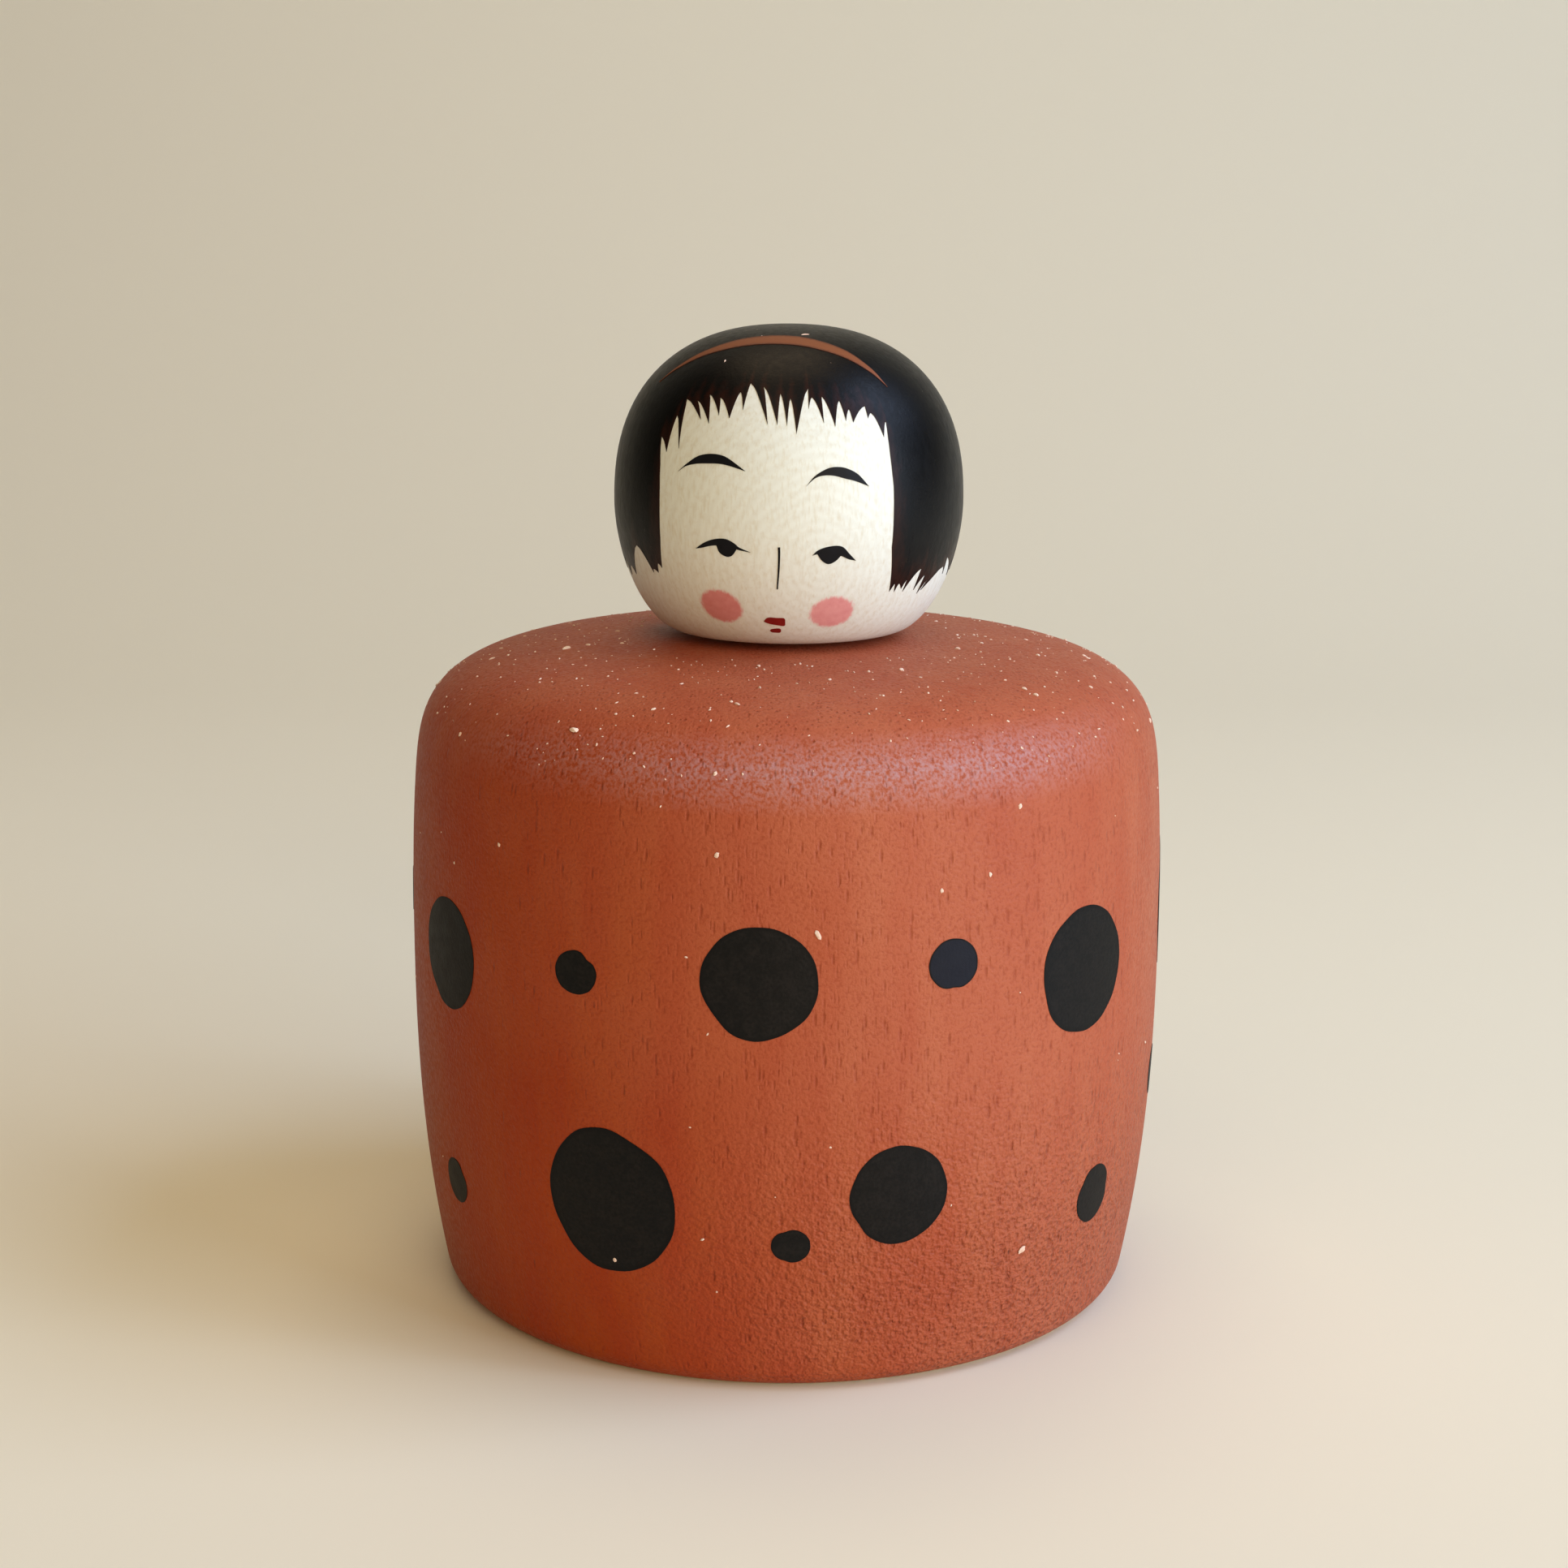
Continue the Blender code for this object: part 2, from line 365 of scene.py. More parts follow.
    # low on the right the wax lies rough, like orange peel, and its hollows are painted darker as painted
    # shade
    patch = add(tree, "TexNoise", {"Vector": place, "Scale": 1 / (0.3 * MM), "Detail": 1.0}, output="Fac")
    hollow = add(tree, "MapRange", {"Value": patch, "From Min": 0.46, "From Max": 0.3, "To Max": 0.55})
    shaded_hollows = add(tree, "Math", {0: hollow, 1: rougher}, operation="MULTIPLY")
    dyed = add(tree, "Mix", {FACTOR: shaded_hollows, COLOUR_A: dyed, COLOUR_B: "#7a2a0c"}, **OF_COLOURS)
    # the pores are coloured a shade darker, partly their own tone and partly painted shade in their dents
    part_pit = add(tree, "Math", {0: pit, 1: 0.34}, operation="MULTIPLY")
    pitted = add(tree, "Mix", {FACTOR: part_pit, COLOUR_A: dyed, COLOUR_B: "#7a2408"}, **OF_COLOURS)

    # growth rings of the bare base, 1.6 mm apart round a heart that is off the centre
    heart = add(tree, "Mapping", {"Vector": place, "Location": (-9 * MM, 6 * MM, 0)}, vector_type="POINT")
    rings = add(
        tree, "TexWave",
        {"Vector": heart, "Scale": WAVE_PERIOD / (1.6 * MM), "Distortion": 1.2, "Detail Scale": 2.0},
        output="Fac", wave_type="RINGS", rings_direction="Z", wave_profile="SAW",
    )
    bare = add(tree, "Mix", {FACTOR: rings, COLOUR_A: "#dcc39a", COLOUR_B: "#cfae7e"}, **OF_COLOURS)
    dye_line = add(tree, "MapRange", {"Value": level, "From Min": 0.05 * MM, "From Max": 0.25 * MM})
    colour = add(tree, "Mix", {FACTOR: dye_line, COLOUR_A: bare, COLOUR_B: pitted}, **OF_COLOURS)

    # wax lies thicker in patches of 0.3 mm
    rough = add(
        tree, "MapRange",
        {"Value": patch, "From Min": 0.35, "From Max": 0.65, "To Min": 0.46, "To Max": 0.6},
    )
    coarse = add(tree, "Math", {0: rougher, 1: 8.0}, operation="MULTIPLY")
    tooth = add(tree, "Math", {0: patch, 1: coarse, 2: frost}, operation="MULTIPLY_ADD")
    sanding = add(tree, "Bump", {"Height": tooth, "Distance": 0.07 * MM, "Strength": 0.8})
    dented = add(
        tree, "Bump", {"Height": pit, "Distance": 0.045 * MM, "Strength": 0.9, "Normal": sanding},
        invert=True,
    )
    connect(shader, Base_Color=colour, Roughness=rough, Normal=dented)
    return material


# Each cheek: angle, level, half width, half height, lean in degrees, and its dye from thin to
# thick.
CHEEKS = [
    (-25.0, 2.55, 1.42, 1.22, 14, ("#d98a86", "#c76468")),
    (16.1, 2.28, 1.42, 1.18, -6, ("#e39c9a", "#d27a7e")),
]
CHEEK_SLOPE = math.radians(-38)  # the chin's slope there, from upright


def dogwood_cream_ground():
    """Dogwood under a thin cream ground of lime and glue, dry and matt.

    The growth rings and the fibres show through as faint lighter lines, and a touch of pink dye
    has soaked into the ground on each cheek, so its edge is soft.
    """
    material, tree, shader = new_material("dogwood_cream_ground", Roughness=0.52, IOR=1.45)
    place = add(tree, "TexCoord", output="Object")

    # growth rings 0.55 mm apart, cut through close to the surface on the right of the face
    heart = HEAD_FACE.points(10.0, HEAD_FACE.walk_at(HEAD_LEVEL + 4.9 * MM))
    ring_place = add(
        tree, "Mapping", {"Vector": place, "Location": tuple(heart), "Scale": (1, 1, 1.15)},
        vector_type="TEXTURE",
    )
    rings = add(
        tree, "TexWave",
        {
            "Vector": ring_place, "Scale": WAVE_PERIOD / (0.55 * MM), "Distortion": 5.0, "Detail": 3.0,
            "Detail Scale": 0.6,
        },
        output="Fac", wave_type="RINGS", rings_direction="SPHERICAL", wave_profile="SIN",
    )
    fibre_place = add(tree, "Mapping", {"Vector": place, "Scale": (1, 1, 0.22)})
    fibres = add(
        tree, "TexNoise", {"Vector": fibre_place, "Scale": 1 / (0.16 * MM), "Detail": 3.0}, output="Fac"
    )
    mottle = add(tree, "TexNoise", {"Vector": place, "Scale": 1 / (0.45 * MM), "Detail": 3.0}, output="Fac")
    ringed = add(tree, "Mix", {FACTOR: rings, COLOUR_A: "#e0e5dc", COLOUR_B: "#e4eae2"}, **OF_COLOURS)
    thin = add(tree, "MapRange", {"Value": fibres, "From Min": 0.5, "From Max": 0.75, "To Max": 0.45})
    fibred = add(tree, "Mix", {FACTOR: thin, COLOUR_A: ringed, COLOUR_B: "#ccc6ac"}, **OF_COLOURS)
    worn = add(tree, "MapRange", {"Value": mottle, "From Min": 0.52, "From Max": 0.72, "To Max": 0.35})
    colour = add(tree, "Mix", {FACTOR: worn, COLOUR_A: fibred, COLOUR_B: "#d0ccb8"}, **OF_COLOURS)

    # the cheeks: an oval each, whose edge the fibres break up
    for angle, cheek_level, wide, high, lean, dye in CHEEKS:
        walk = HEAD_FACE.walk_at(HEAD_LEVEL + cheek_level * MM)
        centre = HEAD_FACE.points(angle, walk)
        oval = add(
            tree, "Mapping",
            {
                "Vector": place, "Location": tuple(centre),
                "Rotation": (CHEEK_SLOPE, math.radians(lean), math.radians(angle)),
                "Scale": (wide * MM, high * MM, high * MM),
            },
            vector_type="TEXTURE",
        )
        off = add(tree, "VectorMath", {0: oval}, output="Value", operation="LENGTH")
        ragged = add(tree, "Math", {0: fibres, 1: 0.35, 2: off}, operation="MULTIPLY_ADD")
        soaked = add(
            tree, "MapRange",
            {"Value": ragged, "From Min": 1.0, "From Max": 1.26, "To Min": 0.92, "To Max": 0.0},
            interpolation_type="SMOOTHSTEP",
        )
        light = add(tree, "Mix", {FACTOR: mottle, COLOUR_A: dye[0], COLOUR_B: dye[1]}, **OF_COLOURS)
        colour = add(tree, "Mix", {FACTOR: soaked, COLOUR_A: colour, COLOUR_B: light}, **OF_COLOURS)

    chalk = add(tree, "Bump", {"Height": mottle, "Distance": 0.015 * MM, "Strength": 0.35})
    brushed = add(tree, "Bump", {"Height": fibres, "Distance": 0.01 * MM, "Strength": 0.4, "Normal": chalk})
    connect(shader, Base_Color=colour, Normal=brushed)
    return material


def dogwood_turned_bare():
    """Dogwood left as it came off the lathe: pale, dry, with fine grooves of the gouge."""
    material, tree, shader = new_material("dogwood_turned_bare", Roughness=0.7, IOR=1.5)
    place = add(tree, "TexCoord", output="Object")
    grain = add(tree, "Mapping", {"Vector": place, "Scale": (1, 1, 0.15)})
    fibres = add(tree, "TexNoise", {"Vector": grain, "Scale": 1 / (0.35 * MM), "Detail": 3.0}, output="Fac")
    colour = add(tree, "Mix", {FACTOR: fibres, COLOUR_A: "#e0c69c", COLOUR_B: "#c7a472"}, **OF_COLOURS)
    grooves = add(
        tree, "TexWave", {"Vector": place, "Scale": WAVE_PERIOD / (0.25 * MM), "Distortion": 0.5},
        output="Fac", wave_type="BANDS", bands_direction="Z",
    )
    turned = add(tree, "Bump", {"Height": grooves, "Distance": 0.02 * MM, "Strength": 0.5})
    connect(shader, Base_Color=colour, Normal=turned)
    return material


def black_hair_paint():
    """Carbon-black poster paint brushed over the head, with a faint satin.

    It is thin along the brush's last strokes, where the brown of the wood shows through, and it
    lies a little rough over the pores.
    """
    material, tree, shader = new_material("black_hair_paint", IOR=1.45, Specular_IOR_Level=0.20)
    place = add(tree, "TexCoord", output="Object")
    grain = add(tree, "Mapping", {"Vector": place, "Scale": (1, 1, 0.35)})
    brush = add(tree, "TexNoise", {"Vector": grain, "Scale": 1 / (0.35 * MM), "Detail": 3.0}, output="Fac")
    edge = add(tree, "Attribute", output="Fac", attribute_name="from_edge")
    cover = add(tree, "Math", {0: brush, 1: 3.0, 2: edge}, operation="MULTIPLY_ADD")
    thick = add(tree, "MapRange", {"Value": cover, "From Min": 1.3, "From Max": 3.2})
    colour = add(tree, "Mix", {FACTOR: thick, COLOUR_A: "#26100a", COLOUR_B: "#030304"}, **OF_COLOURS)
    rough = add(
        tree, "MapRange", {"Value": brush, "From Min": 0.3, "From Max": 0.7, "To Min": 0.36, "To Max": 0.46}
    )
    pores = add(tree, "TexNoise", {"Vector": place, "Scale": 1 / (0.18 * MM), "Detail": 2.0}, output="Fac")
    bump = add(tree, "Bump", {"Height": pores, "Distance": 0.02 * MM, "Strength": 0.5})
    connect(shader, Base_Color=colour, Roughness=rough, Normal=bump)
    return material


def black_dot_paint():
    """The same black laid on in round dabs: flat and matt, a shade greyer where it dried thin,
    and blackest in the rim where it pooled."""
    material, tree, shader = new_material("black_dot_paint", IOR=1.45, Specular_IOR_Level=0.22)
    place = add(tree, "TexCoord", output="Object")
    dab = add(tree, "TexNoise", {"Vector": place, "Scale": 1 / (0.9 * MM), "Detail": 3.0}, output="Fac")
    grit = add(tree, "TexNoise", {"Vector": place, "Scale": 1 / (0.2 * MM), "Detail": 2.0}, output="Fac")
    blue = add(tree, "Attribute", output="Fac", attribute_name="blue")
    thin = add(tree, "Math", {0: dab, 1: grit}, operation="MULTIPLY")
    dried = add(tree, "MapRange", {"Value": thin, "From Min": 0.15, "From Max": 0.38})
    colour = add(tree, "Mix", {FACTOR: dried, COLOUR_A: "#020202", COLOUR_B: "#14110f"}, **OF_COLOURS)
    # painted reflection: one dot is tinted blue for a bluish sheen of the light
    colour = add(tree, "Mix", {FACTOR: blue, COLOUR_A: colour, COLOUR_B: "#10131f"}, **OF_COLOURS)
    outward = add(tree, "Attribute", output="Fac", attribute_name="outward")
    rim = add(tree, "MapRange", {"Value": outward, "From Min": 0.9, "From Max": 0.96})
    colour = add(tree, "Mix", {FACTOR: rim, COLOUR_A: colour, COLOUR_B: "#020101"}, **OF_COLOURS)
    rough = add(
        tree, "MapRange", {"Value": dab, "From Min": 0.3, "From Max": 0.7, "To Min": 0.52, "To Max": 0.62}
    )
    bump = add(tree, "Bump", {"Height": grit, "Distance": 0.03 * MM, "Strength": 0.5})
    connect(shader, Base_Color=colour, Roughness=rough, Normal=bump)
    return material


def black_line_paint():
    """Black ink drawn with a fine brush: even and nearly matt, a shade bluer in places."""
    material, tree, shader = new_material("black_line_paint", Roughness=0.5, IOR=1.45, Specular_IOR_Level=0.2)
    place = add(tree, "TexCoord", output="Object")
    pool = add(tree, "TexNoise", {"Vector": place, "Scale": 1 / (0.5 * MM), "Detail": 2.0}, output="Fac")
    colour = add(tree, "Mix", {FACTOR: pool, COLOUR_A: "#050507", COLOUR_B: "#0e1118"}, **OF_COLOURS)
    connect(shader, Base_Color=colour)
    return material


def orange_band_paint():
    """Brick-orange paint drawn in one stroke: thin in its middle, darker where it pooled at the
    stroke's two edges, and broken by the black's tooth under it."""
    material, tree, shader = new_material("orange_band_paint", Roughness=0.55, IOR=1.45)
    place = add(tree, "TexCoord", output="Object")
    across = add(tree, "Attribute", output="Fac", attribute_name="across")
    edge = add(tree, "Math", {0: across, 1: 0.5}, operation="SUBTRACT")
    edge = add(tree, "Math", {0: edge}, operation="ABSOLUTE")
    tooth = add(tree, "TexNoise", {"Vector": place, "Scale": 1 / (0.2 * MM), "Detail": 3.0}, output="Fac")
    reach = add(tree, "Math", {0: tooth, 1: 0.25, 2: edge}, operation="MULTIPLY_ADD")
    pooled = add(tree, "MapRange", {"Value": reach, "From Min": 0.42, "From Max": 0.62, "To Max": 0.9})
    colour = add(tree, "Mix", {FACTOR: pooled, COLOUR_A: "#7f4520", COLOUR_B: "#4a200c"}, **OF_COLOURS)
    bump = add(tree, "Bump", {"Height": tooth, "Distance": 0.02 * MM, "Strength": 0.4})
    connect(shader, Base_Color=colour, Normal=bump)
    return material


def crimson_lip_paint():
    """Crimson paint touched on with the tip of a brush, darkest where it pooled."""
    material, tree, shader = new_material("crimson_lip_paint", Roughness=0.45, IOR=1.45)
    place = add(tree, "TexCoord", output="Object")
    pool = add(tree, "TexNoise", {"Vector": place, "Scale": 1 / (0.35 * MM), "Detail": 2.0}, output="Fac")
    colour = add(tree, "Mix", {FACTOR: pool, COLOUR_A: "#8e1a18", COLOUR_B: "#6a0808"}, **OF_COLOURS)
    connect(shader, Base_Color=colour)
    return material


def wood_dust():
    """Crumbs of sanding dust and wax: off-white, dry, and no two of one shade."""
    material, tree, shader = new_material("wood_dust", Roughness=0.8, IOR=1.4)
    place = add(tree, "TexCoord", output="Object")
    shade = add(tree, "TexNoise", {"Vector": place, "Scale": 1 / (0.6 * MM), "Detail": 1.0}, output="Fac")
    colour = add(tree, "Mix", {FACTOR: shade, COLOUR_A: "#d8a890", COLOUR_B: "#f4ead8"}, **OF_COLOURS)
    connect(shader, Base_Color=colour)
    return material


stained_wood = dogwood_stained_waxed()
cream_wood = dogwood_cream_ground()
bare_wood = dogwood_turned_bare()
hair_paint = black_hair_paint()
dot_paint = black_dot_paint()
line_paint = black_line_paint()
orange_paint = orange_band_paint()
crimson_paint = crimson_lip_paint()
dust = wood_dust()


# ================================================================ wood
def make_body():
    """The turned body with its socket: floor, chamber, lip, mouth, then the outer face and base."""
    mouth = NECK_RADIUS + RUNNING_CLEARANCE
    chamber = KNOB_RADIUS + RUNNING_CLEARANCE
    floor = KNOB_END - END_GAP
    lip_under = HEAD_LEVEL - SEAT_GAP - LIP_LENGTH
    mouth_top = crown_level(mouth + CHAMFER)
    socket = [
        (0, floor), (chamber, floor), (chamber, lip_under - (KNOB_RADIUS - NECK_RADIUS)),
        (mouth, lip_under), (mouth, mouth_top - CHAMFER), (mouth + CHAMFER, mouth_top),
    ]
    outline = np.concatenate([socket, BODY_FACE.outline[1:], [(0, 0)]])
    piece = turned_piece("turned_body", outline, 320, stained_wood, "body", "red_stain")
    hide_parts("body")


def make_head():
    """The turned head with the bore that the peg is glued into."""
    bore = NECK_RADIUS + GLUE_LINE
    roof = PEG_END + END_GAP
    under = HEAD_LEVEL
    inside = [(bore + CHAMFER, under), (bore, under + CHAMFER), (bore, roof), (0, roof)]
    outline = np.concatenate([HEAD_FACE.outline, inside])
    piece = turned_piece("turned_head", outline, 288, cream_wood, "head", "cream_ground")
    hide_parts("head")


# ================================================================ dots on the body
# Angle and level of the centre, half width and half height, lean of the top towards +X in
# degrees, and the flats or notches of the edge, each a direction in degrees anticlockwise from
# the right, and a depth.
DOTS = [
    (-58.8, 24.1, 3.25, 3.45, -8, [(225, 0.06)]),
    (-30.5, 25.3, 1.43, 1.31, 0, [(50, 0.14)]),
    (-3.7, 25.6, 3.40, 3.36, 0, [(215, 0.05), (300, 0.03)]),
    (23.6, 26.3, 1.56, 1.52, 0, [(270, 0.08)]),
    (47.8, 24.4, 3.80, 3.85, 6, [(200, 0.04)]),
    (-60.1, 9.25, 1.38, 1.44, -6, [(30, 0.10)]),
    (-25.8, 11.6, 4.20, 4.55, -5, [(60, 0.05), (205, 0.03)]),
    (0.9, 9.7, 1.15, 1.06, 0, [(110, 0.10), (250, 0.08)]),
    (16.3, 12.6, 2.98, 3.08, 14, [(228, 0.05), (330, 0.02)]),
    (53.6, 9.5, 1.72, 1.86, 19, [(20, 0.08), (165, 0.07)]),
    # round the sides and back, the same two rows go on
    (86.6, 25.0, 3.3, 4.3, 4, [(140, 0.05)]),
    (112.0, 25.9, 1.5, 1.45, 0, [(300, 0.10)]),
    (139.0, 24.9, 3.6, 3.5, -6, [(30, 0.06)]),
    (167.0, 25.6, 1.4, 1.5, 0, [(200, 0.10)]),
    (196.0, 25.2, 3.5, 3.4, 5, [(250, 0.06)]),
    (222.0, 24.6, 1.6, 1.5, 0, [(80, 0.10)]),
    (252.0, 25.4, 3.3, 3.6, -5, [(160, 0.05)]),
    (276.0, 25.6, 1.45, 1.4, 0, [(320, 0.12)]),
    (79.6, 14.4, 1.5, 1.6, 0, [(320, 0.06)]),
    (102.0, 11.0, 3.4, 3.7, 6, [(60, 0.10)]),
    (128.0, 12.2, 3.1, 3.4, -8, [(240, 0.08)]),
    (154.0, 9.4, 1.7, 1.6, 6, [(110, 0.08)]),
    (181.0, 11.8, 3.9, 4.2, -6, [(30, 0.06)]),
    (209.0, 9.7, 1.3, 1.2, 0, [(280, 0.12)]),
    (235.0, 12.3, 3.2, 3.3, 9, [(190, 0.06)]),
    (262.0, 9.5, 1.8, 1.9, -8, [(20, 0.08)]),
]
SHEEN_DOT = 3          # painted reflection: this dot's black is tinted blue for a bluish sheen of the light
NOTCH_REACH = 0.30    # radians over which a notch fades out
WOBBLE = 0.010        # of the edge, as a share of the dot's size


def dot_points(dot, rings, spokes, random):
    """A brushed dot: an ellipse, leaned over, whose edge is drawn in by a bell curve at each notch
    and wobbles by a sum of cosines. Its rings lie closer together towards the edge."""
    angle, level, half_width, half_height, lean, notches = dot
    spoke = np.arange(spokes) * (2 * math.pi / spokes)
    edge = np.ones(spokes)
    for direction, depth in notches:
        off = np.angle(np.exp(1j * (spoke - math.radians(direction))))
        edge -= depth * np.exp(-((off / NOTCH_REACH) ** 2))
    for waves in (3, 5, 8, 13):
        edge += WOBBLE / math.sqrt(waves) * np.cos(waves * spoke + random.uniform(0, 6.3))
    share = (np.linspace(0, 1, rings) ** 0.8)[:, None] * edge
    x, y = half_width * share * np.cos(spoke), half_height * share * np.sin(spoke)
    tilt = math.radians(lean)
    across, up = x * math.cos(tilt) + y * math.sin(tilt), y * math.cos(tilt) - x * math.sin(tilt)
    walk = BODY_FACE.walk_at(level * MM) - up * MM
    turn = angle + np.degrees(across * MM / BODY_FACE.radius_at(walk))
    return coat_points(BODY_FACE, turn, walk)


def make_dots():
    """All the dots as one piece, with how far out each point lies and which dot gets a painted bluish
    reflection.
    """
    random = np.random.default_rng(7)
    rings, spokes = 10, 72
    points = [dot_points(dot, rings, spokes, random) for dot in DOTS]
    faces = [round_faces(rings, spokes, 2 * rings * spokes * k) for k in range(len(DOTS))]
    shape = (len(DOTS), 2, rings, spokes)
    outward = np.broadcast_to(np.linspace(0, 1, rings)[:, None], shape)
    blue = np.broadcast_to((np.arange(len(DOTS)) == SHEEN_DOT)[:, None, None, None], shape)
    new_piece(
        "dots", np.stack(points), np.concatenate(faces), dot_paint, "body", "black_paint",
        outward=outward, blue=blue,
    )


# ================================================================ dust
CRUMB_ROWS, CRUMB_COLUMNS = 6, 8
# Large crumbs stuck to the side: angle, level, half length, half width, and lean in degrees.
BIG_CRUMBS = [
    (4.3, 28.5, 0.30, 0.15, -30), (-9.6, 33.0, 0.22, 0.14, 20), (-58.9, 37.5, 0.16, 0.12, 0),
    (34.7, 35.0, 0.18, 0.13, 30), (65.0, 40.0, 0.16, 0.12, 0), (-25.4, 7.8, 0.15, 0.13, 0),
    (-45.2, 31.9, 0.13, 0.11, 0), (29.3, 31.3, 0.15, 0.11, 0), (21.7, 30.7, 0.15, 0.12, 0),
    (-56.6, 29.9, 0.10, 0.09, 0),
]


def crumb_points(face, angle, walk, size, lean, random):
    """Small ellipsoids whose every point is pushed in or out a little, laid flat on a face and
    sunk into it by a third of their height. Size holds half length, width and height."""
    polar = np.linspace(0, math.pi, CRUMB_ROWS)[:, None]
    turn = np.arange(CRUMB_COLUMNS) * (2 * math.pi / CRUMB_COLUMNS)
    east, north = np.sin(polar) * np.cos(turn), np.sin(polar) * np.sin(turn)
    ball = np.stack([east, north, np.cos(polar) + 0 * turn], -1)
    push = random.uniform(0.70, 1.15, (len(angle), CRUMB_ROWS, CRUMB_COLUMNS, 1))
    push[:, [0, -1]] = 1
    shape = ball * push * size[:, None, None]
    a, tip = np.radians(angle), np.radians(lean)
    around = np.stack([np.cos(a), np.sin(a), 0 * a], -1)
    lift = face.points(angle, walk, 1.0) - face.points(angle, walk)
    along = np.cross(lift, around)
    length = around * np.sin(tip)[:, None] + along * np.cos(tip)[:, None]
    width = np.cross(length, lift)
    axes = np.stack([length, width, lift], 1)
    centre = face.points(angle, walk, size[:, 2] / 3)
    return centre[:, None, None] + shape @ axes[:, None]


def make_crumbs(name, face, body, angle, walk, size, lean, random):
    """Crumbs at these places as one piece."""
    points = crumb_points(face, angle, walk, size, lean, random)
    each = CRUMB_ROWS * CRUMB_COLUMNS
    one = grid_faces(CRUMB_ROWS, CRUMB_COLUMNS, round_and_back=True)
    faces = (one + each * np.arange(len(angle))[:, None, None]).reshape(-1, 4)
    new_piece(name, points, faces, dust, body, "bare_wood")


def make_body_dust():
    """Fine crumbs thick on the crown and the shoulder, few on the side, and the large ones."""
    random = np.random.default_rng(11)
    on_top, on_side = 700, 50
    low, high = 5 * MM, BODY_FACE.walk_at(37 * MM)
    reach = random.uniform(0.05, 1, on_top) ** 0.8
    side = random.uniform(high, 0.92 * BODY_FACE.walks[-1], on_side)
    walk = np.concatenate([low + (high - low) * reach, side])
    angle = random.uniform(-180, 180, on_top + on_side)
    half = 0.050 * MM * np.exp(random.normal(0, 0.45, on_top + on_side))
    size = half[:, None] * random.uniform((1.0, 0.7, 0.5), (1.9, 1.0, 0.8), (len(half), 3))
    big = np.array(BIG_CRUMBS)
    angle = np.concatenate([angle, big[:, 0]])
    walk = np.concatenate([walk, BODY_FACE.walk_at(big[:, 1] * MM)])
    size = np.concatenate([size, big[:, [2, 3, 3]] * (1, 1, 0.5) * MM])
    lean = np.concatenate([random.uniform(-90, 90, len(half)), big[:, 4]])
    make_crumbs("body_dust", BODY_FACE, "body", angle, walk, size, lean, random)


CHIP_ANGLE, CHIP_RADIUS, CHIP_LEAN = 14.0, 3.85 * MM, 80.0
CHIP_SIZE = (0.30 * MM, 0.075 * MM, 0.06 * MM)


def make_head_dust():
    """A few crumbs in the hair, and the chip that the lathe's centre left near the top."""
    random = np.random.default_rng(5)
    count = 26
    angle = np.append(random.uniform(-180, 180, count), CHIP_ANGLE)
    top_radius = HEAD_FACE.outline[:TOP_POINTS, 0]
    chip = HEAD_FACE.walks[np.searchsorted(top_radius, CHIP_RADIUS)]
    walk = np.append(random.uniform(3 * MM, 12 * MM, count), chip)
    half = 0.025 * MM * np.exp(random.normal(0, 0.4, count))
    size = half[:, None] * random.uniform((1.0, 0.7, 0.9), (1.8, 1.0, 1.3), (count, 3))
    size = np.concatenate([size, [CHIP_SIZE]])
    lean = np.append(random.uniform(-90, 90, count), CHIP_LEAN)
    make_crumbs("head_dust", HEAD_FACE, "head", angle, walk, size, lean, random)


# ================================================================ hair
# The edge of the hair, in turn from its left side to its right: angle and level above the head's
# underside, in degrees and millimetres. A root is the top of the cream wedge between two
# strands, a tip is a strand's end, and a side is a point of the smooth edge beside the face.
LEFT_LOCK = [
    ("root", -83.0, 5.1), ("tip", -80.0, 3.9), ("root", -78.6, 4.7), ("tip", -75.0, 3.6),
    ("root", -71.1, 4.3), ("tip", -67.7, 3.8), ("root", -60.4, 5.8), ("tip", -52.8, 4.25),
    ("root", -52.5, 4.5), ("tip", -50.0, 4.3), ("root", -49.1, 4.9), ("tip", -47.4, 4.65),
]
LEFT_SIDE = [(-46.8, 5.35), (-45.8, 6.5), (-45.4, 7.7), (-45.4, 8.65), (-45.5, 9.6), (-46.2, 11.0)]
FRINGE = [
    ("root", -48.1, 12.6), ("tip", -44.1, 11.75), ("root", -43.3, 13.9), ("tip", -38.9, 12.0),
    ("root", -41.7, 14.85), ("tip", -32.3, 13.75), ("root", -37.0, 14.85), ("tip", -28.7, 13.55),
    ("root", -32.0, 15.2), ("tip", -25.5, 14.05), ("root", -26.9, 15.05), ("tip", -21.3, 13.9),
    ("root", -19.2, 15.4), ("tip", -16.8, 14.4), ("root", -15.9, 15.9), ("tip", -7.4, 13.6),
    ("root", -10.5, 15.75), ("tip", -4.1, 13.6), ("root", -3.5, 15.35), ("tip", -0.8, 13.55),
    ("root", 0.3, 15.1), ("tip", 2.4, 13.1), ("root", 7.3, 15.65), ("tip", 6.9, 14.5),
    ("root", 8.4, 15.15), ("tip", 11.9, 13.7), ("root", 12.1, 15.2), ("tip", 15.8, 13.5),
    ("root", 18.6, 14.95), ("tip", 19.9, 13.8), ("root", 21.8, 14.45), ("tip", 22.5, 13.7),
    ("root", 28.4, 14.6), ("tip", 28.5, 13.9), ("root", 30.2, 14.2), ("tip", 33.3, 12.8),
    ("root", 35.5, 13.7),
]
RIGHT_SIDE = [
    (34.9, 12.7), (34.7, 11.8), (34.8, 10.8), (35.1, 9.9), (35.1, 8.9), (35.0, 7.9), (35.1, 6.2),
    (36.6, 4.6),
]
